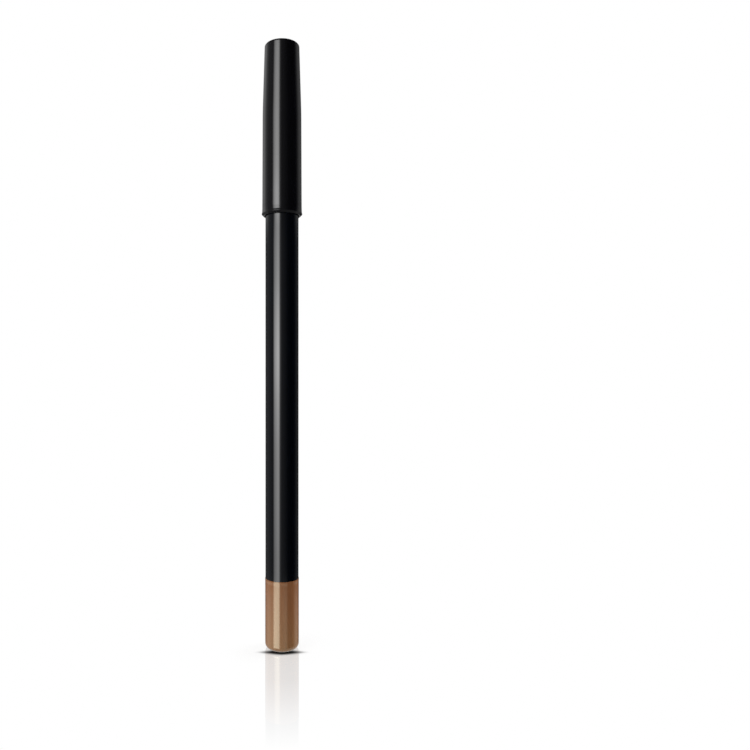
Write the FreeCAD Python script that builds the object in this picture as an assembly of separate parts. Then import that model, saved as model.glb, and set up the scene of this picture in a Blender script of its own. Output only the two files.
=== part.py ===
# Lip liner pencil with its push-on cap in place, standing on its dipped end.
# Millimetres, +Z up the pencil's axis. The origin is the centre of the flat end that it stands on.
import FreeCAD, Part
import math
import os

Vector = FreeCAD.Vector

# Barrel: two grooved wooden halves glued round the core, then lacquered
PENCIL_LENGTH = 136.0       # from the flat end to the tip of the point
BARREL_RADIUS = 4.0         # over the lacquer
LACQUER = 0.15              # thickness of the black lacquer
CORE_RADIUS = 1.77          # the pigment core
CORE_FILM = 0.01            # glue film between the core and its groove
END_ROUNDING = 1.1          # rounded edge of the barrel's blunt end

# Dipped end: a coat in the core's shade over the lacquer and the blunt end
DIP_HEIGHT = 16.8           # from the flat end to the coat's upper edge
DIP_COAT = 0.06             # thickness on the barrel's side
DIP_END_COAT = 0.25         # thickness under the barrel's blunt end, where the lacquer gathers
DIP_EDGE_ROUNDING = 0.05    # soft upper edge of the coat

# Point: cut with crowned facets, which leave a scalloped edge on lacquer and wood
POINT_HALF_ANGLE = 16.3     # degrees, at the middle of a facet
FACETS = 8
FACET_CROWN = 0.4           # 0 is a flat facet, 1 is a round cone
TIP_RADIUS = 0.12

# Cap, outside
CAP_LENGTH = 41.2
CAP_ENGAGEMENT = 20.4       # from the mouth to the shoulder that stops the barrel
CAP_WALL = 0.56             # at the skirt, over the bore between the ribs
CAP_SKIRT_DRAFT = 0.22      # degrees
CAP_CROWN_HEIGHT = 16.3     # from the top down to where the steeper taper starts
CAP_CROWN_DRAFT = 1.72      # degrees
CAP_CROWN_BLEND = 140.0     # radius that joins the skirt to the crown
CAP_TOP_ROUNDING = 0.45
CAP_FLARE = 0.015           # the skirt widens by this much, slowly, towards the mouth
CAP_FLARE_LENGTH = 2.4
CAP_FLARE_BLEND = 60.0
MOUTH_FLARE = 0.035         # and then by this much, faster, down to the bead
MOUTH_FLARE_HEIGHT = 0.8
MOUTH_FLARE_BLEND = 8.0
BEAD_STAND_OUT = 0.1        # the bead's crest, beyond the flared skirt
BEAD_HEIGHT = 0.95          # from the mouth to the bead's upper edge
BEAD_BLEND = 1.0
BEAD_ROUNDING = 0.12
LIP_SLANT = 0.45            # from its crest the bead runs inwards by this much down to the mouth
LIP_SLANT_HEIGHT = 0.45
LIP_ROUNDING = 0.05

# Cap, inside
RIB_COUNT = 6
RIB_CLEARANCE = 0.06        # between a rib's crest and the barrel
RIB_HEIGHT = 0.14
RIB_WIDTH = 0.7
RIB_MOUTH_GAP = 1.6         # from the mouth to the ribs
RIB_STOP_GAP = 1.0          # from the ribs to the shoulder
RIB_LEAD = 0.6              # sloped ends of the ribs
MOUTH_CHAMFER = 0.06
STOP_OVERLAP = 0.3          # how far the shoulder reaches over the barrel's edge
STOP_CLEARANCE = 0.2        # above the point's facets when the cap is home
STOP_ROUNDING = 0.15
CROWN_BORE_DRAFT = 0.9      # degrees, above the shoulder
ROOF_THICKNESS = 1.5
ROOF_ROUNDING = 1.2

# Margins of the cutting bodies beyond what they cut
CUT_MARGIN = 1.0
NOSE_HALF_ANGLE = 45.0      # the tip's rounding is cut by a nose wider than the point

CASING_RADIUS = BARREL_RADIUS - LACQUER
HALF_ANGLE = math.radians(POINT_HALF_ANGLE)
FACET_STEP = 2 * math.pi / FACETS
EDGE_RATIO = 1 + (1 / math.cos(FACET_STEP / 2) - 1) * (1 - FACET_CROWN)
APEX_Z = PENCIL_LENGTH - TIP_RADIUS + TIP_RADIUS / math.sin(HALF_ANGLE)

BORE_RADIUS = BARREL_RADIUS + RIB_CLEARANCE + RIB_HEIGHT
STOP_RADIUS = BARREL_RADIUS - STOP_OVERLAP
STOP_Z = APEX_Z - STOP_RADIUS / (math.tan(HALF_ANGLE) * EDGE_RATIO) + STOP_CLEARANCE
MOUTH_Z = STOP_Z - CAP_ENGAGEMENT
CAP_TOP_Z = MOUTH_Z + CAP_LENGTH
ROOF_Z = CAP_TOP_Z - ROOF_THICKNESS


def on_profile(r, z):
    return Vector(r, 0, z)


def rounded_profile(corners):
    """A closed face in the XZ plane from (radius, height, rounding) corners, each rounding a tangent arc."""
    count = len(corners)
    points = [on_profile(r, z) for r, z, rounding in corners]
    starts, ends, edges = [], [], []
    for i, (r, z, rounding) in enumerate(corners):
        here = points[i]
        back = (points[i - 1] - here).normalize()
        ahead = (points[(i + 1) % count] - here).normalize()
        if rounding == 0:
            starts.append(here)
            ends.append(here)
            continue
        half_turn = back.getAngle(ahead) / 2
        reach = rounding / math.tan(half_turn)
        to_centre = (back + ahead).normalize() * (rounding / math.sin(half_turn))
        middle = here + to_centre - to_centre.normalize() * rounding
        starts.append(here + back * reach)
        ends.append(here + ahead * reach)
        edges.append(Part.Arc(starts[i], middle, ends[i]).toShape())
    for i in range(count):
        edges.append(Part.LineSegment(ends[i], starts[(i + 1) % count]).toShape())
    return Part.Face(Part.Wire(Part.__sortEdges__(edges)))


def turned(corners):
    """A solid of revolution about the pencil's axis."""
    return rounded_profile(corners).revolve(Vector(0, 0, 0), Vector(0, 0, 1), 360)


def facet_section(z):
    """The point's outline at height z: equal arcs that meet in the edges between facets."""
    middle_radius = (APEX_Z - z) * math.tan(HALF_ANGLE)
    edge_radius = middle_radius * EDGE_RATIO
    arcs = []
    for k in range(FACETS):
        start, middle, end = (
            Vector(r * math.cos(a), r * math.sin(a), z)
            for r, a in (
                (edge_radius, (k - 0.5) * FACET_STEP),
                (middle_radius, k * FACET_STEP),
                (edge_radius, (k + 0.5) * FACET_STEP),
            )
        )
        arcs.append(Part.Arc(start, middle, end).toShape())
    return Part.Wire(arcs)


def faceted_cone():
    """Everything that the sharpener leaves: the faceted cone, wider than the barrel at its foot."""
    foot_radius = BARREL_RADIUS + CUT_MARGIN
    foot_z = APEX_Z - foot_radius / math.tan(HALF_ANGLE)
    top_z = APEX_Z - TIP_RADIUS / 2
    cone = Part.makeLoft([facet_section(foot_z), facet_section(top_z)], True, True)
    nose_z = PENCIL_LENGTH - TIP_RADIUS
    shoulder = Vector(
        TIP_RADIUS * math.cos(HALF_ANGLE), 0, nose_z + TIP_RADIUS * math.sin(HALF_ANGLE)
    )
    nose_radius = foot_radius * EDGE_RATIO + CUT_MARGIN
    brim_z = shoulder.z - (nose_radius - shoulder.x) / math.tan(math.radians(NOSE_HALF_ANGLE))
    tip = on_profile(0, PENCIL_LENGTH)
    sway = math.radians(90 + POINT_HALF_ANGLE) / 2
    halfway = on_profile(TIP_RADIUS * math.cos(sway), nose_z + TIP_RADIUS * math.sin(sway))
    rim = [on_profile(nose_radius, brim_z), on_profile(nose_radius, foot_z), on_profile(0, foot_z)]
    nose_edges = [Part.Arc(tip, halfway, shoulder).toShape()]
    for a, b in zip([shoulder] + rim, rim + [tip]):
        nose_edges.append(Part.LineSegment(a, b).toShape())
    nose = Part.Face(Part.Wire(nose_edges)).revolve(Vector(0, 0, 0), Vector(0, 0, 1), 360)
    return cone.common(nose), foot_z


def blank():
    """The whole barrel as one body: rounded at the blunt end, sharpened at the other."""
    cone, foot_z = faceted_cone()
    shank = turned([
        (0, DIP_END_COAT, 0),
        (BARREL_RADIUS, DIP_END_COAT, END_ROUNDING),
        (BARREL_RADIUS, PENCIL_LENGTH, 0),
        (0, PENCIL_LENGTH, 0),
    ])
    below = Part.makeCylinder(BARREL_RADIUS + CUT_MARGIN, foot_z)
    return shank.common(below.fuse(cone)).removeSplitter()


def rod(radius):
    """A round bar along the axis, longer than the pencil at both ends."""
    return Part.makeCylinder(
        radius, PENCIL_LENGTH + 2 * CUT_MARGIN, Vector(0, 0, -CUT_MARGIN)
    )


def core(shape):
    return shape.common(rod(CORE_RADIUS))


def wood_half(shape, side):
    """One of the two casing halves. side is +1 for the +Y half and -1 for the -Y half."""
    casing = shape.common(rod(CASING_RADIUS)).cut(rod(CORE_RADIUS + CORE_FILM))
    width = 2 * (BARREL_RADIUS + CUT_MARGIN)
    corner = Vector(-width / 2, 0 if side > 0 else -width / 2, -CUT_MARGIN)
    room = Part.makeBox(width, width / 2, PENCIL_LENGTH + 2 * CUT_MARGIN, corner)
    return casing.common(room)


def barrel_lacquer(shape):
    return shape.cut(rod(CASING_RADIUS))


def end_dip(shape):
    outside = turned([
        (0, 0, 0),
        (BARREL_RADIUS + DIP_COAT, 0, END_ROUNDING + DIP_COAT),
        (BARREL_RADIUS + DIP_COAT, DIP_HEIGHT, DIP_EDGE_ROUNDING),
        (0, DIP_HEIGHT, 0),
    ])
    return outside.cut(shape)


def cap_shell():
    """The cap without its ribs, as one turned section: outside from mouth to top, then inside back down."""
    skirt_radius = BORE_RADIUS + CAP_WALL
    break_z = CAP_TOP_Z - CAP_CROWN_HEIGHT
    bead_z = MOUTH_Z + BEAD_HEIGHT
    mouth_flare_z = bead_z + MOUTH_FLARE_HEIGHT
    flare_z = mouth_flare_z + CAP_FLARE_LENGTH
    flare_radius = skirt_radius + CAP_FLARE
    mouth_flare_radius = flare_radius + MOUTH_FLARE
    break_radius = skirt_radius - (break_z - flare_z) * math.tan(math.radians(CAP_SKIRT_DRAFT))
    top_radius = break_radius - CAP_CROWN_HEIGHT * math.tan(math.radians(CAP_CROWN_DRAFT))
    bead_radius = mouth_flare_radius + BEAD_STAND_OUT
    roof_radius = STOP_RADIUS - (ROOF_Z - STOP_Z) * math.tan(math.radians(CROWN_BORE_DRAFT))
    return turned([
        (BORE_RADIUS + MOUTH_CHAMFER, MOUTH_Z, 0),
        (bead_radius - LIP_SLANT, MOUTH_Z, LIP_ROUNDING),
        (bead_radius, MOUTH_Z + LIP_SLANT_HEIGHT, BEAD_ROUNDING),
        (mouth_flare_radius, bead_z, BEAD_BLEND),
        (flare_radius, mouth_flare_z, MOUTH_FLARE_BLEND),
        (skirt_radius, flare_z, CAP_FLARE_BLEND),
        (break_radius, break_z, CAP_CROWN_BLEND),
        (top_radius, CAP_TOP_Z, CAP_TOP_ROUNDING),
        (0, CAP_TOP_Z, 0),
        (0, ROOF_Z, 0),
        (roof_radius, ROOF_Z, ROOF_ROUNDING),
        (STOP_RADIUS, STOP_Z, STOP_ROUNDING),
        (BORE_RADIUS, STOP_Z, 0),
        (BORE_RADIUS, MOUTH_Z + MOUTH_CHAMFER, 0),
    ])


def grip_ribs():
    """Low ribs along the bore that grip the barrel, with sloped ends and crests on one cylinder."""
    crest = BARREL_RADIUS + RIB_CLEARANCE
    root = BORE_RADIUS + CAP_WALL / 2
    low, high = MOUTH_Z + RIB_MOUTH_GAP, STOP_Z - RIB_STOP_GAP
    ring = turned([
        (BORE_RADIUS, low, 0),
        (root, low, 0),
        (root, high, 0),
        (BORE_RADIUS, high, 0),
        (crest, high - RIB_LEAD, 0),
        (crest, low + RIB_LEAD, 0),
    ])
    ribs = []
    for k in range(RIB_COUNT):
        blade = Part.makeBox(root, RIB_WIDTH, high - low, Vector(0, -RIB_WIDTH / 2, low))
        blade.rotate(Vector(0, 0, 0), Vector(0, 0, 1), 360 * k / RIB_COUNT)
        ribs.append(ring.common(blade))
    return ribs


def cap():
    shell = cap_shell()
    return shell.fuse(grip_ribs()).removeSplitter()


def build():
    shape = blank()
    return {
        "core": core(shape),
        "wood_half_front": wood_half(shape, -1),
        "wood_half_back": wood_half(shape, +1),
        "barrel_lacquer": barrel_lacquer(shape),
        "end_dip": end_dip(shape),
        "cap": cap(),
    }


def solid_of(shape):
    """The one solid that a shape holds."""
    (solid,) = shape.Solids
    return solid


os.makedirs("parts", exist_ok=True)
for name, shape in build().items():
    solid = solid_of(shape)
    solid.exportStep(os.path.join("parts", name + ".step"))
    print(f"{name}: {solid.Volume:.2f} mm3, valid {solid.isValid()}")
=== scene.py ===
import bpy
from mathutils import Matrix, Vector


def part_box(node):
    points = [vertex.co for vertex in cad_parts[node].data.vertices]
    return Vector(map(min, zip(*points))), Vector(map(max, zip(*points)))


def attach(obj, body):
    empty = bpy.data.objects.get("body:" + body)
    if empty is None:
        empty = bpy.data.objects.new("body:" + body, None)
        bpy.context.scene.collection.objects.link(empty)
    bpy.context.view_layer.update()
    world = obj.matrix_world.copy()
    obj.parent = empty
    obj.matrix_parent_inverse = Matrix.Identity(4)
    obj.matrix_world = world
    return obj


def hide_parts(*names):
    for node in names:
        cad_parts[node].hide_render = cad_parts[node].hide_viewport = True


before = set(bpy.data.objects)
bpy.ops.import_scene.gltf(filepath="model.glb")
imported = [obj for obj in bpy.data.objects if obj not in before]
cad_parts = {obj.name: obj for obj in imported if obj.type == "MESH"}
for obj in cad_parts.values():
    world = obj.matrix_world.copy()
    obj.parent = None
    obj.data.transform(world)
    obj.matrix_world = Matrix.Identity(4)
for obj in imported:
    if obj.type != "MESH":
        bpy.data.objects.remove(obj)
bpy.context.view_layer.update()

import math

import bmesh
import bpy
import numpy as np
from mathutils import Vector

MM = 0.001
FULL_TURN = 2 * math.pi

# Sizes that the CAD nodes give, in millimetres
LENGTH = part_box("core")[1].z / MM
DIP_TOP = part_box("end_dip")[1].z / MM
DIP_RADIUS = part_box("end_dip")[1].x / MM
BARREL_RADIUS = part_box("barrel_lacquer")[1].x / MM
CASING_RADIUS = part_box("wood_half_back")[1].y / MM
MOUTH_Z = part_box("cap")[0].z / MM
CAP_TOP_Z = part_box("cap")[1].z / MM

# The pencil's other values, in millimetres, with angles turned from degrees
CORE_RADIUS = 1.77
CORE_FILM = 0.01
BLUNT_Z = 0.25
END_ROUNDING = 1.1
POINT_HALF_ANGLE = math.radians(16.3)
FACETS = 8
FACET_CROWN = 0.4
TIP_RADIUS = 0.12
APEX_Z = LENGTH - TIP_RADIUS + TIP_RADIUS / math.sin(POINT_HALF_ANGLE)
DIP_COAT = DIP_RADIUS - BARREL_RADIUS
DIP_SWELL = 0.02
SWELL_START = 0.9
SWELL_FULL = 0.32
SWELL_BLEND = 0.5
DIP_EDGE_HEIGHT = 0.02
DIP_EDGE_ROUNDING = 0.05

# The cap's other values, in millimetres, with angles turned from degrees
BORE_RADIUS = 4.2
BORE_DRAFT = math.radians(0.9)
CAP_WALL = 0.56
CAP_ENGAGEMENT = 20.4
STOP_RADIUS = 3.7
STOP_ROUNDING = 0.15
STOP_Z = MOUTH_Z + CAP_ENGAGEMENT
ROOF_THICKNESS = 1.5
ROOF_ROUNDING = 1.2
ROOF_Z = CAP_TOP_Z - ROOF_THICKNESS
SKIRT_DRAFT = math.radians(0.22)
CROWN_HEIGHT = 16.3
CROWN_DRAFT = math.radians(1.72)
CROWN_BLEND = 140.0
TOP_ROUNDING = 0.45
FLARE = 0.015
FLARE_LENGTH = 2.4
FLARE_BLEND = 60.0
MOUTH_FLARE = 0.035
MOUTH_FLARE_HEIGHT = 0.8
MOUTH_FLARE_BLEND = 8.0
BEAD_STAND_OUT = 0.093
BEAD_HEIGHT = 0.95
BEAD_BLEND = 1.0
LIP_SLANT = 0.45
LIP_SLANT_HEIGHT = 0.45
LIP_ROUNDING = 0.05
MOUTH_CHAMFER = 0.06
MOUTH_ROUNDING = 0.02
DIMPLE_RADIUS = 1.3
DIMPLE_FLOOR_RADIUS = 1.2
DIMPLE_DEPTH = 0.1
DIMPLE_ROUNDING = 0.1
DIMPLE_FLOOR_ROUNDING = 0.08
GATE_RADIUS = 0.35
GATE_TOP_RADIUS = 0.28
GATE_BELOW_TOP = 0.03
GATE_ROUNDING = 0.03
RIB_COUNT = 6
RIB_HEIGHT = 0.14
RIB_WIDTH = 0.7
RIB_LEAD = 0.6
RIBS_ABOVE_MOUTH = 1.6
RIBS_BELOW_STOP = 1.0
RIBS_LOW = MOUTH_Z + RIBS_ABOVE_MOUTH
RIBS_HIGH = STOP_Z - RIBS_BELOW_STOP

# How the meshes are divided, in steps, millimetres and angles turned from degrees
AROUND = 288            # steps round the axis, 36 to a facet, so that every facet edge has vertices
ARC_STEP = math.radians(9)
ARC_LEAST_STEPS = 3
RUN_STEP = 2.5
RUN_SHORT = 0.25
RUN_SUPPORT = 0.12
BLUNT_RING_RADIUS = 2.4
BLUNT_ARC_MARGIN = 0.02
CORE_EDGE_SUPPORT = 0.05
TIP_STEPS = 9
TIP_MARGIN = 0.02
RIB_MARGIN = 0.05       # about half a step round the bore, so that a rib keeps its width
SAME_RADIUS = 1e-4
SHARP_ANGLE = math.radians(25)


# Profiles and turned meshes


def arc_points(corner, back, ahead, rounding):
    """Points of the arc that rounds a corner between the unit directions to its neighbours."""
    half = math.acos(max(-1.0, min(1.0, back.dot(ahead)))) / 2
    reach = rounding / math.tan(half)
    centre = corner + (back + ahead).normalized() * (rounding / math.sin(half))
    start = corner + back * reach - centre
    end = corner + ahead * reach - centre
    sweep = math.atan2(start.x * end.y - start.y * end.x, start.dot(end))
    steps = max(ARC_LEAST_STEPS, math.ceil(abs(sweep) / ARC_STEP))
    points = []
    for i in range(steps + 1):
        turn = sweep * i / steps
        cos, sin = math.cos(turn), math.sin(turn)
        points.append(centre + Vector((start.x * cos - start.y * sin, start.x * sin + start.y * cos)))
    return points


def with_runs(points):
    """The same line with points added on its longer straight pieces, two of them close to the ends."""
    out = [points[0]]
    for a, b in zip(points, points[1:]):
        length = (b - a).length
        if length > RUN_SHORT:
            near = min(RUN_SUPPORT, length / 5)
            inner = max(1, math.ceil((length - 2 * near) / RUN_STEP))
            spots = [near + (length - 2 * near) * i / inner for i in range(inner + 1)]
            out += [a.lerp(b, s / length) for s in spots]
        out.append(b)
    return out


def rounded(corners):
    """A profile from (radius, height, rounding) corners. It runs from axis to axis."""
    points = [Vector((r, z)) for r, z, _ in corners]
    line = []
    for i, (_, _, rounding) in enumerate(corners):
        if rounding == 0:
            line.append(points[i])
            continue
        back = (points[i - 1] - points[i]).normalized()
        ahead = (points[i + 1] - points[i]).normalized()
        line += arc_points(points[i], back, ahead, rounding)
    return np.array(with_runs(line))


def mesh_object(name, vertices, faces):
    """A smooth-shaded object from millimetre vertices, with its sharp edges kept sharp."""
    mesh = bpy.data.meshes.new(name)
    mesh.from_pydata([tuple(v) for v in np.asarray(vertices) * MM], [], faces)
    mesh.update()
    work = bmesh.new()
    work.from_mesh(mesh)
    bmesh.ops.recalc_face_normals(work, faces=work.faces)
    work.to_mesh(mesh)
    work.free()
    mesh.shade_smooth()
    mesh.set_sharp_from_angle(angle=SHARP_ANGLE)
    obj = bpy.data.objects.new(name, mesh)
    bpy.context.scene.collection.objects.link(obj)
    return obj


def ring_vertices(angles, rings, closed):
    """The vertices, and their numbers by angle and place in the profile. An open profile ends in poles."""
    count = rings.shape[1]
    inner = range(count) if closed else range(1, count - 1)
    poles = () if closed else (0, count - 1)
    vertices, index = [], {}
    for i, a in enumerate(angles):
        for j in inner:
            index[i, j] = len(vertices)
            r, z = rings[i, j]
            vertices.append((r * math.cos(a), r * math.sin(a), z))
    for j in poles:
        for i in range(len(angles)):
            index[i, j] = len(vertices)
        vertices.append((0, 0, rings[0, j][1]))
    return vertices, index


def turned(name, section, closed, start=0.0, sweep=FULL_TURN):
    """A solid turned about the axis. section(angle) gives its (radius, height) profile at that angle."""
    whole = sweep == FULL_TURN
    steps = AROUND if whole else AROUND // 2
    angles = [start + sweep * i / steps for i in range(steps if whole else steps + 1)]
    rings = np.array([section(a) for a in angles])
    vertices, index = ring_vertices(angles, rings, closed)
    count = rings.shape[1]
    bands = [(j, (j + 1) % count) for j in range(count if closed else count - 1)]
    faces = []
    for i in range(steps):
        k = (i + 1) % len(angles)
        for j, m in bands:
            loop = [index[i, j], index[k, j], index[k, m], index[i, m]]
            faces.append(list(dict.fromkeys(loop)))
    if closed and not whole:
        faces += [[index[i, j] for j in range(count)] for i in (0, steps)]
    return mesh_object(name, vertices, faces)


# The sharpened point


def facet_ratio(angle):
    """How far the facets' crowned section stands from the axis, over its distance at a facet's middle."""
    step = FULL_TURN / FACETS
    off = (angle + step / 2) % step - step / 2
    edge = 1 + (1 / math.cos(step / 2) - 1) * (1 - FACET_CROWN)
    centre = (1 - edge * edge) / (2 * (1 - edge * math.cos(step / 2)))
    return centre * math.cos(off) + math.sqrt((centre * math.cos(off)) ** 2 + 1 - 2 * centre)


def point_z(radius, angle):
    """The height of the point's surface at that radius."""
    return APEX_Z - radius / (math.tan(POINT_HALF_ANGLE) * facet_ratio(angle))


def cone_run(r_start, r_end, angle, rings):
    """Points up or down the point's surface between two radii."""
    radii = np.linspace(r_start, r_end, rings)
    return [(r, point_z(r, angle)) for r in radii]


def barrel_run(radius, z_start, z_end, rings):
    """Points up or down a straight side."""
    return [(radius, z) for z in np.linspace(z_start, z_end, rings)]


def blunt_arc(r_inner, rings):
    """The blunt end's rounded edge, from a radius inside it out to the barrel."""
    centre_r, centre_z = BARREL_RADIUS - END_ROUNDING, BLUNT_Z + END_ROUNDING
    first = math.asin(max(0.0, r_inner - centre_r) / END_ROUNDING)
    turns = np.linspace(first, math.pi / 2, rings)
    return [(centre_r + END_ROUNDING * math.sin(t), centre_z - END_ROUNDING * math.cos(t)) for t in turns]


def core_section(angle):
    """The core, from its blunt end to the rounded tip."""
    line = [(0, BLUNT_Z), (CORE_RADIUS / 2, BLUNT_Z), (CORE_RADIUS - CORE_EDGE_SUPPORT, BLUNT_Z)]
    line += barrel_run(CORE_RADIUS, BLUNT_Z, point_z(CORE_RADIUS, angle), rings=40)
    tip_start = TIP_RADIUS * math.cos(POINT_HALF_ANGLE)
    line += cone_run(CORE_RADIUS, tip_start * (1 + TIP_MARGIN), angle, rings=70)[1:]
    tip_sweep = math.pi / 2 - POINT_HALF_ANGLE
    nose_z = LENGTH - TIP_RADIUS
    for i in range(1, TIP_STEPS):
        turn = POINT_HALF_ANGLE + tip_sweep * i / TIP_STEPS
        line.append((TIP_RADIUS * math.cos(turn) * (1 - TIP_MARGIN), nose_z + TIP_RADIUS * math.sin(turn)))
    return line + [(0, LENGTH)]


def wood_section(angle):
    """The casing round the core's groove, cut to the point's scallops."""
    groove = CORE_RADIUS + CORE_FILM
    edge_turn = math.asin(1 - (BARREL_RADIUS - CASING_RADIUS) / END_ROUNDING)
    edge_z = BLUNT_Z + END_ROUNDING * (1 - math.cos(edge_turn))
    line = [(groove, BLUNT_Z), (BLUNT_RING_RADIUS, BLUNT_Z)]
    line += [p for p in blunt_arc(0, rings=10) if p[0] < CASING_RADIUS - BLUNT_ARC_MARGIN]
    line += barrel_run(CASING_RADIUS, edge_z, point_z(CASING_RADIUS, angle), rings=48)
    line += cone_run(CASING_RADIUS, groove, angle, rings=60)[1:]
    return line + barrel_run(groove, point_z(groove, angle), BLUNT_Z, rings=30)[1:-1]


def lacquer_section(angle):
    """The lacquer round the casing, from the blunt end's edge to the scalloped edge."""
    line = blunt_arc(CASING_RADIUS, rings=8)
    line += barrel_run(BARREL_RADIUS, BLUNT_Z + END_ROUNDING, point_z(BARREL_RADIUS, angle), rings=70)[1:]
    line += cone_run(BARREL_RADIUS, CASING_RADIUS, angle, rings=7)[1:]
    return line + barrel_run(CASING_RADIUS, point_z(CASING_RADIUS, angle), line[0][1], rings=30)[1:-1]


# The dipped end and the cap


def dip_profile():
    """The coat over the blunt end, with the slight swell below its upper edge."""
    swell = DIP_RADIUS + DIP_SWELL
    return rounded([
        (0, 0, 0),
        (DIP_RADIUS, 0, END_ROUNDING + DIP_COAT),
        (DIP_RADIUS, DIP_TOP - SWELL_START, 0),
        (swell, DIP_TOP - SWELL_FULL, SWELL_BLEND),
        (swell, DIP_TOP - DIP_EDGE_HEIGHT, DIP_EDGE_ROUNDING),
        (BARREL_RADIUS, DIP_TOP, 0),
        (BARREL_RADIUS, BLUNT_Z, END_ROUNDING),
        (0, BLUNT_Z, 0),
    ])


def cap_profile():
    """The cap from its roof down the bore, round the mouth and the bead, and up to the dimpled top."""
    skirt = BORE_RADIUS + CAP_WALL
    break_z = CAP_TOP_Z - CROWN_HEIGHT
    bead_z = MOUTH_Z + BEAD_HEIGHT
    mouth_flare_z = bead_z + MOUTH_FLARE_HEIGHT
    flare_z = mouth_flare_z + FLARE_LENGTH
    flare = skirt + FLARE
    mouth_flare = flare + MOUTH_FLARE
    bead = mouth_flare + BEAD_STAND_OUT
    at_break = skirt - (break_z - flare_z) * math.tan(SKIRT_DRAFT)
    at_top = at_break - CROWN_HEIGHT * math.tan(CROWN_DRAFT)
    at_roof = STOP_RADIUS - (ROOF_Z - STOP_Z) * math.tan(BORE_DRAFT)
    return rounded([
        (0, ROOF_Z, 0),
        (at_roof, ROOF_Z, ROOF_ROUNDING),
        (STOP_RADIUS, STOP_Z, STOP_ROUNDING),
        (BORE_RADIUS, STOP_Z, 0),
        (BORE_RADIUS, RIBS_HIGH, 0),
        (BORE_RADIUS, RIBS_HIGH - RIB_LEAD, 0),
        (BORE_RADIUS, RIBS_LOW + RIB_LEAD, 0),
        (BORE_RADIUS, RIBS_LOW, 0),
        (BORE_RADIUS, MOUTH_Z + MOUTH_CHAMFER, 0),
        (BORE_RADIUS + MOUTH_CHAMFER, MOUTH_Z, MOUTH_ROUNDING),
        (bead - LIP_SLANT, MOUTH_Z, LIP_ROUNDING),
        (bead, MOUTH_Z + LIP_SLANT_HEIGHT, LIP_ROUNDING),
        (mouth_flare, bead_z, BEAD_BLEND),
        (flare, mouth_flare_z, MOUTH_FLARE_BLEND),
        (skirt, flare_z, FLARE_BLEND),
        (at_break, break_z, CROWN_BLEND),
        (at_top, CAP_TOP_Z, TOP_ROUNDING),
        (DIMPLE_RADIUS, CAP_TOP_Z, DIMPLE_ROUNDING),
        (DIMPLE_FLOOR_RADIUS, CAP_TOP_Z - DIMPLE_DEPTH, DIMPLE_FLOOR_ROUNDING),
        (GATE_RADIUS, CAP_TOP_Z - DIMPLE_DEPTH, GATE_ROUNDING),
        (GATE_TOP_RADIUS, CAP_TOP_Z - GATE_BELOW_TOP, GATE_ROUNDING),
        (0, CAP_TOP_Z - GATE_BELOW_TOP, 0),
    ])


def cap_section(angle, profile):
    """The cap's profile with a grip rib where one stands at that angle."""
    step = FULL_TURN / RIB_COUNT
    off = abs((angle + step / 2) % step - step / 2) * BORE_RADIUS
    if off > RIB_WIDTH / 2 + RIB_MARGIN:
        return profile
    out = profile.copy()
    r, z = out[:, 0], out[:, 1]
    on_bore = (abs(r - BORE_RADIUS) < SAME_RADIUS) & (z >= RIBS_LOW) & (z <= RIBS_HIGH)
    lead = np.clip(np.minimum(z - RIBS_LOW, RIBS_HIGH - z) / RIB_LEAD, 0, 1)
    out[:, 0] = np.where(on_bore, r - RIB_HEIGHT * lead, r)
    return out


# A short way to write node trees

MIX_INPUTS = (0, 6, 7)      # a colour mix's factor, first colour and second colour
MIX_OUTPUT = 2


def rgba(value):
    """A socket as it is, and a grey level or a colour with its alpha."""
    if isinstance(value, bpy.types.NodeSocket):
        return value
    if isinstance(value, (int, float)):
        return (value, value, value, 1.0)
    return (*value, 1.0)


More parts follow.
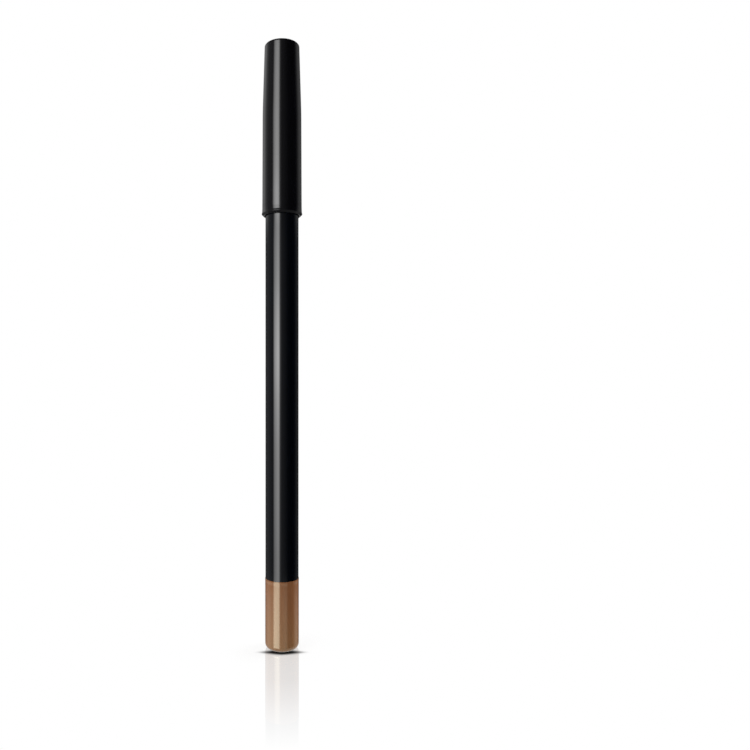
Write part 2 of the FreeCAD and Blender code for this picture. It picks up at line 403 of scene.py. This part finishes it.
class Nodes:
    """The nodes of one material or world."""

    def __init__(self, tree):
        self.tree = tree
        tree.nodes.clear()

    def put(self, node, key, value):
        socket = node.inputs[key]
        if isinstance(value, bpy.types.NodeSocket):
            self.tree.links.new(value, socket)
        else:
            socket.default_value = value

    def add(self, kind, **sockets):
        """A node with the named sockets filled."""
        node = self.tree.nodes.new(kind)
        for key, value in sockets.items():
            self.put(node, key.replace("_", " "), value)
        return node

    def fill(self, node, values):
        """The first output of a node, once its sockets are filled in order."""
        for i, value in enumerate(values):
            self.put(node, i, value)
        return node.outputs[0]

    def math(self, operation, a, b=0.0, c=0.0):
        node = self.add("ShaderNodeMath")
        node.operation = operation
        return self.fill(node, (a, b, c))

    def mix(self, factor, a, b, blend="MIX"):
        """Two colours or levels mixed by a factor."""
        node = self.add("ShaderNodeMix")
        node.data_type = "RGBA"
        node.blend_type = blend
        for key, value in zip(MIX_INPUTS, (factor, rgba(a), rgba(b))):
            self.put(node, key, value)
        return node.outputs[MIX_OUTPUT]

    def mix_shader(self, factor, a, b):
        return self.fill(self.add("ShaderNodeMixShader"), (factor, a, b))

    def ramp(self, factor, stops, mode="LINEAR"):
        """Grey levels between (position, level) stops."""
        node = self.add("ShaderNodeValToRGB")
        node.color_ramp.interpolation = mode
        elements = node.color_ramp.elements
        while len(elements) < len(stops):
            elements.new(0.5)
        for element, (position, level) in zip(elements, sorted(stops)):
            element.position = position
            element.color = rgba(level)
        self.put(node, "Fac", factor)
        return node.outputs["Color"]

    def spread(self, noise):
        """Noise stretched to the whole range from 0 to 1."""
        return self.ramp(noise, [(0.3, 0.0), (0.7, 1.0)])

    def coordinates(self, kind="Object"):
        return self.add("ShaderNodeTexCoord").outputs[kind]

    def stretched(self, size):
        """Object coordinates in millimetres, each divided by its own length."""
        scale = tuple(1 / (length * MM) for length in size)
        return self.add("ShaderNodeMapping", Vector=self.coordinates(), Scale=scale).outputs[0]

    def noise(self, size, detail, roughness=0.5):
        """Noise with lumps of that size along x, y and z, in millimetres."""
        where = self.stretched(size)
        node = self.add("ShaderNodeTexNoise", Vector=where, Scale=1.0, Detail=detail, Roughness=roughness)
        return node.outputs["Fac"]

    def split(self, vector):
        """A vector's x, y and z."""
        return self.add("ShaderNodeSeparateXYZ", Vector=vector).outputs

    def from_axis(self, x, y):
        """How far a place is from the z axis."""
        return self.math("SQRT", self.math("ADD", self.math("MULTIPLY", x, x), self.math("MULTIPLY", y, y)))


# Materials, with colours in linear light, and lumps and bumps in millimetres

MOULDING = (0.0012, 0.0011, 0.0020)
MOULDING_PALE = (0.0018, 0.0017, 0.0028)
MOULDING_BUMP = 0.0035
MOULDING_IOR = 1.5
LACQUER = (0.0005, 0.0010, 0.0026)
LACQUER_PALE = (0.0008, 0.0014, 0.0034)
LACQUER_BUMP = 0.004
LACQUER_IOR = 1.5
PRIMER = (0.86, 0.80, 0.70)
PRIMER_DEPTH = 0.062
PRIMER_RAGGED = 0.02
PRIMER_ROUGHNESS = 0.6
DIP = (0.245, 0.093, 0.036)
DIP_PALE = (0.267, 0.107, 0.043)
DIP_FLECK = (0.305, 0.133, 0.057)
# Painted light: a lighter, warmer brown blended in towards the foot, faded by height
DIP_PAINTED_LIGHT_COLOUR = (0.314, 0.157, 0.066)
DIP_PAINTED_LIGHT_FADE = [(0.0, 0.8), (0.65, 0.1), (1.0, 0.0)]
DIP_BUMP = 0.005
DIP_IOR = 1.75
DIP_GLOSS_TINT = (1.0, 0.95, 0.72)
WOOD = (0.83, 0.67, 0.49)
WOOD_BAND = (0.70, 0.52, 0.34)
WOOD_PORE = (0.42, 0.27, 0.15)
WOOD_BUMP = 0.03
WOOD_ROUGHNESS = 0.62
WOOD_IOR = 1.45
CORE = (0.255, 0.122, 0.066)
CORE_PALE = (0.325, 0.165, 0.092)
CORE_BUMP = 0.018
CORE_IOR = 1.46


def material(name):
    """A new material and its emptied node tree."""
    made = bpy.data.materials.new(name)
    made.use_nodes = True
    return made, Nodes(made.node_tree)


def finish_surface(nodes, height, depth, **sockets):
    """The Principled shader and its output, with a bump of that depth in millimetres."""
    bump = nodes.add("ShaderNodeBump", Strength=1.0, Distance=depth * MM, Height=height)
    shader = nodes.add("ShaderNodeBsdfPrincipled", Normal=bump.outputs[0], **sockets)
    nodes.add("ShaderNodeOutputMaterial", Surface=shader.outputs[0])


def cap_material():
    """Gloss black moulding: a faint flow unevenness and a slightly softer gloss here and there."""
    made, n = material("black_moulding")
    flow = n.noise((2.2, 2.2, 9.0), 3.0)
    fine = n.noise((0.25, 0.25, 0.25), 2.0)
    colour = n.mix(fine, MOULDING, MOULDING_PALE)
    rough = n.ramp(flow, [(0.35, 0.075), (0.7, 0.11)])
    height = n.math("ADD", flow, n.math("MULTIPLY", fine, 0.05))
    finish_surface(n, height, MOULDING_BUMP, Base_Color=colour, Roughness=rough, IOR=MOULDING_IOR)
    return made


def lacquer_material():
    """Black gloss lacquer over a pale primer, which shows where the sharpener cuts through."""
    made, n = material("black_lacquer")
    x, y, _ = n.split(n.coordinates())
    ragged = n.math("MULTIPLY", n.noise((0.3, 0.3, 0.3), 3.0), PRIMER_RAGGED * MM)
    depth = n.math("ADD", n.from_axis(x, y), ragged)
    under = n.math("LESS_THAN", depth, (BARREL_RADIUS - PRIMER_DEPTH) * MM)
    waves = n.noise((3.5, 3.5, 14.0), 2.0)
    peel = n.noise((0.5, 0.5, 0.8), 1.5)
    colour = n.mix(under, n.mix(peel, LACQUER, LACQUER_PALE), PRIMER)
    rough = n.mix(under, n.ramp(waves, [(0.3, 0.055), (0.7, 0.085)]), PRIMER_ROUGHNESS)
    height = n.math("ADD", waves, n.math("MULTIPLY", peel, 0.06))
    finish_surface(n, height, LACQUER_BUMP, Base_Color=colour, Roughness=rough, IOR=LACQUER_IOR)
    return made


def dip_material():
    """Brown gloss coat in the core's shade, a little cloudy, as a dipped pigment lacquer is, with painted
    light making it lighter towards the foot.
    """
    made, n = material("brown_dip")
    cloud = n.noise((2.5, 2.5, 6.0), 3.0)
    speck = n.noise((0.12, 0.12, 0.12), 2.0)
    clouded = n.mix(n.spread(cloud), DIP, DIP_PALE)
    flecked = n.mix(n.ramp(speck, [(0.4, 0.0), (0.75, 0.35)]), clouded, DIP_FLECK)
    _, _, share_up = n.split(n.stretched((1.0, 1.0, DIP_TOP)))
    # Painted light: the coat is made lighter towards the foot
    colour = n.mix(n.ramp(share_up, DIP_PAINTED_LIGHT_FADE), flecked, DIP_PAINTED_LIGHT_COLOUR)
    rough = n.ramp(cloud, [(0.3, 0.085), (0.7, 0.12)])
    height = n.math("ADD", cloud, n.math("MULTIPLY", speck, 0.04))
    gloss = {"IOR": DIP_IOR, "Specular_Tint": rgba(DIP_GLOSS_TINT)}
    finish_surface(n, height, DIP_BUMP, Base_Color=colour, Roughness=rough, **gloss)
    return made


def wood_material():
    """Pale close-grained casing wood: fibres along the pencil, pores, and the cutter's fine marks."""
    made, n = material("casing_wood")
    bands = n.noise((0.9, 3.0, 30.0), 3.0, 0.55)
    fibre = n.noise((0.10, 0.10, 3.2), 4.0, 0.6)
    pore = n.noise((0.16, 0.16, 1.6), 2.0)
    cut = n.noise((1.6, 1.6, 0.07), 2.0)
    banded = n.mix(n.spread(bands), WOOD, WOOD_BAND)
    streaked = n.mix(1.0, banded, n.ramp(fibre, [(0.38, 0.80), (0.62, 1.0)]), "MULTIPLY")
    colour = n.mix(n.ramp(pore, [(0.68, 0.0), (0.78, 0.55)]), streaked, WOOD_PORE)
    height = n.math("ADD", n.math("MULTIPLY", fibre, 0.7), n.math("MULTIPLY", cut, 0.35))
    finish_surface(n, height, WOOD_BUMP, Base_Color=colour, Roughness=WOOD_ROUGHNESS, IOR=WOOD_IOR)
    return made


def core_material():
    """Waxy pigment core: smooth and slightly burnished where it is cut, with drag marks."""
    made, n = material("pigment_core")
    mottle = n.noise((0.35, 0.35, 0.9), 4.0, 0.6)
    drag = n.noise((0.07, 0.07, 1.4), 3.0)
    cut = n.noise((1.2, 1.2, 0.06), 2.0)
    colour = n.mix(n.spread(mottle), CORE, CORE_PALE)
    rough = n.ramp(drag, [(0.3, 0.33), (0.7, 0.5)])
    height = n.math("ADD", n.math("MULTIPLY", drag, 0.6), n.math("MULTIPLY", cut, 0.4))
    finish_surface(n, height, CORE_BUMP, Base_Color=colour, Roughness=rough, IOR=CORE_IOR)
    return made


# Putting the pieces on their bodies


def dress(obj, body, node, made):
    obj.data.materials.append(made)
    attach(obj, body)
    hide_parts(node)


def build_pieces():
    wood = wood_material()
    profile = cap_profile()
    coat = dip_profile()
    core = turned("core_shape", core_section, closed=False)
    dress(core, "pencil", "core", core_material())
    for node, start in (("wood_half_front", math.pi), ("wood_half_back", 0.0)):
        half = turned(node + "_shape", wood_section, closed=True, start=start, sweep=math.pi)
        dress(half, "pencil", node, wood)
    shell = turned("lacquer_shape", lacquer_section, closed=True)
    dress(shell, "pencil", "barrel_lacquer", lacquer_material())
    dip = turned("dip_shape", lambda angle: coat, closed=False)
    dress(dip, "pencil", "end_dip", dip_material())
    moulding = turned("cap_shape", lambda angle: cap_section(angle, profile), closed=False)
    dress(moulding, "cap", "cap", cap_material())


# The floor: lengths in millimetres, fades as (share of the reach, level) stops

FLOOR_SIZE = 6000.0
FLOOR_MATT = 0.8
MIRROR_REACH = 50.0
MIRROR_FADE = [
    (0.0, 0.30), (0.16, 0.30), (0.36, 0.27), (0.54, 0.185), (0.70, 0.09), (0.84, 0.026), (0.90, 0.0),
]
LIT_REACH = 16.0
LIT_FADE = [(0.0, 0.25), (0.3, 0.25), (1.0, 0.0)]
LIT_GREY = 0.9
LIT_FILL = 0.25
NEAR_REACH = 7.0
NEAR_FADE = [(0.0, 1.0), (0.65, 1.0), (1.0, 0.0)]
NEAR_GLOW = 0.8

# The painted shadow at the foot: one mark in front, a narrower one behind, and a disc under the base
CONTACT_CENTRE = 3.2
CONTACT_WIDTH = 6.25
CONTACT_WIDTH_BACK = 3.3
CONTACT_DEPTH = 2.0
CONTACT_POWER = 1.4
CONTACT_END = 1.25
CONTACT_SHADE = [
    (0.0, 0.008), (0.45, 0.008), (0.56, 0.07), (0.68, 0.24), (0.77, 0.41), (0.86, 0.64), (0.96, 0.85),
    (1.05, 0.96), (1.15, 1.0),
]
DISC_END = 4.0
DISC_SHADE = [(0.0, 0.02), (2.9, 0.02), (3.1, 0.3), (3.35, 0.8), (3.6, 1.0)]


def faded(n, distance, reach, stops, mode="LINEAR"):
    """Levels by the distance from the axis. The stops are shares of the reach."""
    return n.ramp(n.math("DIVIDE", distance, reach * MM), stops, mode)


def contact_shade(n, x, y, distance):
    """Painted shadow near the foot: how white the floor is there."""
    behind = n.math("GREATER_THAN", y, 0.0)
    narrower = (CONTACT_WIDTH_BACK - CONTACT_WIDTH) * MM
    width = n.math("MULTIPLY_ADD", behind, narrower, CONTACT_WIDTH * MM)
    across = n.math("ABSOLUTE", n.math("DIVIDE", x, width))
    from_centre = n.math("SUBTRACT", n.math("ABSOLUTE", y), CONTACT_CENTRE * MM)
    along = n.math("ABSOLUTE", n.math("DIVIDE", from_centre, CONTACT_DEPTH * MM))
    raised = [n.math("POWER", value, CONTACT_POWER) for value in (across, along)]
    reach = n.math("POWER", n.math("ADD", *raised), 1 / CONTACT_POWER)
    shadow_mark_stops = [(r / CONTACT_END, level) for r, level in CONTACT_SHADE]
    shadow_marks = n.ramp(n.math("DIVIDE", reach, CONTACT_END), shadow_mark_stops)
    disc = faded(n, distance, DISC_END, [(r / DISC_END, level) for r, level in DISC_SHADE])
    return n.mix(1.0, shadow_marks, disc, "MULTIPLY")


def floor_to_camera(n, distance, contact):
    """White, with the painted shadow at the foot, the lamps' real shadow near it and a faint mirror image.
    """
    # The painted shadow darkens the floor's matt colour and both of its glows
    lit_colour = n.mix(1.0, LIT_GREY, contact, "MULTIPLY")
    lamplit = n.add("ShaderNodeBsdfDiffuse", Color=lit_colour).outputs[0]
    filled = n.add("ShaderNodeEmission", Color=contact, Strength=LIT_FILL).outputs[0]
    bright = n.fill(n.add("ShaderNodeAddShader"), (lamplit, filled))
    white = n.add("ShaderNodeEmission", Color=contact, Strength=1.0).outputs[0]
    matt = n.mix_shader(faded(n, distance, LIT_REACH, LIT_FADE, "EASE"), white, bright)
    mirror = n.add("ShaderNodeBsdfGlossy", Color=rgba(1.0), Roughness=0.0).outputs[0]
    share = n.mix(1.0, faded(n, distance, MIRROR_REACH, MIRROR_FADE), contact, "MULTIPLY")
    return n.mix_shader(share, matt, mirror)


def floor_to_gloss(n, distance):
    """A glow near the foot. Farther out gloss sees the surroundings through the floor."""
    near = faded(n, distance, NEAR_REACH, NEAR_FADE)
    glow = n.add("ShaderNodeEmission", Color=rgba(NEAR_GLOW), Strength=1.0).outputs[0]
    through = n.add("ShaderNodeBsdfTransparent").outputs[0]
    return n.mix_shader(near, through, glow)


def floor():
    """A white plane. The camera, gloss and matt surfaces each see it in their own way."""
    half = FLOOR_SIZE / 2
    corners = [(-half, -half, 0), (half, -half, 0), (half, half, 0), (-half, half, 0)]
    plane = mesh_object("floor", corners, [[0, 1, 2, 3]])
    made, n = material("floor_white")
    x, y, _ = n.split(n.coordinates())
    distance = n.from_axis(x, y)
    contact = contact_shade(n, x, y, distance)
    path = n.add("ShaderNodeLightPath").outputs
    matt = n.add("ShaderNodeBsdfDiffuse", Color=rgba(FLOOR_MATT)).outputs[0]
    unseen = n.mix_shader(path["Is Glossy Ray"], matt, floor_to_gloss(n, distance))
    surface = n.mix_shader(path["Is Camera Ray"], unseen, floor_to_camera(n, distance, contact))
    n.add("ShaderNodeOutputMaterial", Surface=surface)
    plane.data.materials.append(made)


# What gloss reflects, by azimuth in degrees from the front, positive to the right of the picture

ROOM_HIGH = [
    (-180, 0.45), (-158, 0.42), (-140, 0.55), (-130, 0.86), (-122, 0.83), (-112, 0.60), (-104, 0.42),
    (-95, 0.31), (-86, 0.24), (-12, 0.17), (-2, 0.14), (10, 0.12), (18, 0.085), (28, 0.055), (40, 0.025),
    (60, 0.015), (86, 0.015), (95, 0.06), (104, 0.17), (114, 0.31), (128, 0.31), (142, 0.22), (158, 0.12),
    (171, 0.30), (180, 0.45),
]
ROOM_LOW = [
    (-180, 0.45), (-171, 0.35), (-158, 0.13), (-135, 0.13), (-120, 0.22), (-106, 0.26), (-72, 0.20),
    (5, 0.20), (13, 0.155), (20, 0.115), (27, 0.085), (34, 0.055), (44, 0.02), (60, 0.006), (84, 0.005),
    (98, 0.03), (110, 0.07), (124, 0.12), (140, 0.06), (158, 0.04), (171, 0.30), (180, 0.45),
]
ROOM_FOOT = [
    (-180, 0.45), (-171, 0.35), (-158, 0.22), (-136, 0.25), (-121, 0.62), (-108, 0.88), (-96, 0.96),
    (-84, 0.90), (-70, 0.80), (-12, 0.46), (4, 0.53), (22, 0.68), (30, 0.66), (36, 0.32), (42, 0.05),
    (82, 0.04), (93, 0.33), (104, 0.52), (116, 0.60), (128, 0.30), (140, 0.16), (158, 0.08), (171, 0.30),
    (180, 0.45),
]
KEY_HIGH = [
    (-57, 0.0), (-53, 0.20), (-48.5, 0.52), (-43, 0.75), (-37, 0.88), (-31, 1.0), (-25, 0.98),
    (-17.8, 0.78), (-14.5, 0.18), (-9, 0.03), (0, 0.0),
]
KEY_LOW = [
    (-63, 0.0), (-59, 0.22), (-54, 0.52), (-47, 0.70), (-38, 0.84), (-31, 1.0), (-25, 0.98),
    (-18.5, 0.75), (-15.5, 0.22), (-10, 0.06), (0, 0.0),
]
KEY_FOOT = [
    (-66, 0.0), (-60, 0.32), (-55, 0.88), (-50, 1.0), (-44, 0.97), (-31, 0.97), (-25, 0.97), (-19, 0.80),
    (-15, 0.16), (-10, 0.0),
]

# What gloss reflects, by height in degrees above the horizon
KEY_BY_HEIGHT = [
    (-90, 1.0), (-30, 3.4), (-20, 3.9), (-15, 4.1), (-12, 4.9), (-8, 5.3), (-5.5, 5.9), (-3.8, 6.8),
    (-2, 7.5), (0, 9.0), (2, 9.4), (4.6, 8.5), (6.3, 7.7), (8, 6.4), (11, 5.8), (12.5, 5.3), (14, 7.6),
    (15.1, 8.3), (16, 7.3), (17.5, 6.4), (20.5, 5.9), (25, 5.6), (30.0, 5.4), (31.4, 1.2), (33, 0.1),
    (50, 0.0),
]
KEY_TOP = 9.5               # above the window's brightest level, because a ramp holds levels from 0 to 1
HIGH_PART = [(11.0, 0.0), (14.5, 1.0)]
FOOT_PART = [(-17.8, 1.0), (-17.1, 0.0)]
BELOW_PART = [(-45, 1.0), (-28, 0.0)]
BELOW_GREY = 0.18
ABOVE_PART = [(32, 0.0), (50, 1.0)]
ABOVE_GREY = 0.08

# What matt surfaces see, by azimuth
SOFT = [
    (-180, 0.80), (-120, 0.75), (-70, 0.60), (-20, 0.45), (15, 0.25), (45, 0.15), (80, 0.25), (110, 0.60),
    (140, 0.80), (180, 0.80),
]


def by_azimuth(n, turn, stops):
    """Levels by azimuth, where turn goes from 0 to 1 over the whole circle."""
    return n.ramp(turn, [(degrees / 360 + 0.5, level) for degrees, level in stops])


def by_height(n, rise, stops):
    """Levels by height, where rise goes from 0 to 1 from straight below to straight above."""
    return n.ramp(rise, [(degrees / 180 + 0.5, level) for degrees, level in stops])


def gloss_light(n, turn, rise):
    """A window front left, dark cloths front right, and dim greys below and above."""
    upper = by_height(n, rise, HIGH_PART)
    foot = by_height(n, rise, FOOT_PART)

    def in_parts(low, high, at_foot):
        main = n.mix(upper, by_azimuth(n, turn, low), by_azimuth(n, turn, high))
        return n.mix(foot, main, by_azimuth(n, turn, at_foot))

    room = in_parts(ROOM_LOW, ROOM_HIGH, ROOM_FOOT)
    wide = in_parts(KEY_LOW, KEY_HIGH, KEY_FOOT)
    tall = by_height(n, rise, [(degrees, level / KEY_TOP) for degrees, level in KEY_BY_HEIGHT])
    window = n.math("MULTIPLY", n.math("MULTIPLY", wide, tall), KEY_TOP)
    around = n.math("ADD", room, window)
    over_dark = n.mix(by_height(n, rise, BELOW_PART), around, BELOW_GREY)
    return n.mix(by_height(n, rise, ABOVE_PART), over_dark, ABOVE_GREY)


def surroundings():
    """White to the camera and in the floor's mirror, the window's room to gloss, and soft to the rest."""
    world = bpy.data.worlds.new("studio")
    bpy.context.scene.world = world
    world.use_nodes = True
    n = Nodes(world.node_tree)
    x, y, z = n.split(n.coordinates("Generated"))
    azimuth = n.math("ARCTAN2", x, n.math("MULTIPLY", y, -1.0))
    turn = n.math("MULTIPLY_ADD", azimuth, 1 / FULL_TURN, 0.5)
    rise = n.math("MULTIPLY_ADD", n.math("ARCSINE", z), 1 / math.pi, 0.5)
    path = n.add("ShaderNodeLightPath").outputs
    glossy = n.math("MAXIMUM", path["Is Glossy Ray"], path["Is Transmission Ray"])
    light = n.mix(glossy, by_azimuth(n, turn, SOFT), gloss_light(n, turn, rise))
    plain = n.math("MAXIMUM", path["Is Camera Ray"], path["Is Singular Ray"])
    colour = n.mix(plain, light, 1.0)
    back = n.add("ShaderNodeBackground", Color=colour, Strength=1.0).outputs[0]
    n.add("ShaderNodeOutputWorld", Surface=back)


# Lamps and camera, in metres, watts and pixels

LAMP_TARGET = Vector((0, 0, 0.07))
KEY_PLACE = (-0.48, -0.30, 0.20)
KEY_SIZE = (0.35, 0.40)
KEY_WATTS = 1.7
RIM_PLACE = (0.45, 0.20, 0.20)
RIM_SIZE = (0.25, 0.40)
RIM_WATTS = 2.0
CAMERA_PLACE = (0.0, -0.1644, 0.06572)
SENSOR_MM = 36.0
LENS_MM = 32.64
CLIP_START = 0.01
PICTURE_WIDTH = 750
PENCIL_LEFT_OF_MIDDLE = 93


def lamp(name, place, size, watts):
    """A soft area lamp aimed at the middle of the pencil, seen by matt surfaces only."""
    data = bpy.data.lights.new(name, "AREA")
    data.shape = "RECTANGLE"
    data.size, data.size_y = size
    data.energy = watts
    obj = bpy.data.objects.new(name, data)
    obj.location = place
    obj.rotation_euler = (LAMP_TARGET - obj.location).to_track_quat("-Z", "Y").to_euler()
    obj.visible_glossy = False
    bpy.context.scene.collection.objects.link(obj)


def camera():
    """A level camera straight in front, shifted so that the pencil stands left of the middle."""
    data = bpy.data.cameras.new("camera")
    data.sensor_width = SENSOR_MM
    data.lens = LENS_MM
    data.clip_start = CLIP_START
    data.shift_x = PENCIL_LEFT_OF_MIDDLE / PICTURE_WIDTH
    obj = bpy.data.objects.new("camera", data)
    obj.location = CAMERA_PLACE
    obj.rotation_euler = (math.pi / 2, 0, 0)
    bpy.context.scene.collection.objects.link(obj)
    bpy.context.scene.camera = obj


build_pieces()
floor()
surroundings()
lamp("key", KEY_PLACE, KEY_SIZE, KEY_WATTS)
lamp("rim", RIM_PLACE, RIM_SIZE, RIM_WATTS)
camera()
bpy.context.scene.view_settings.view_transform = "Standard"
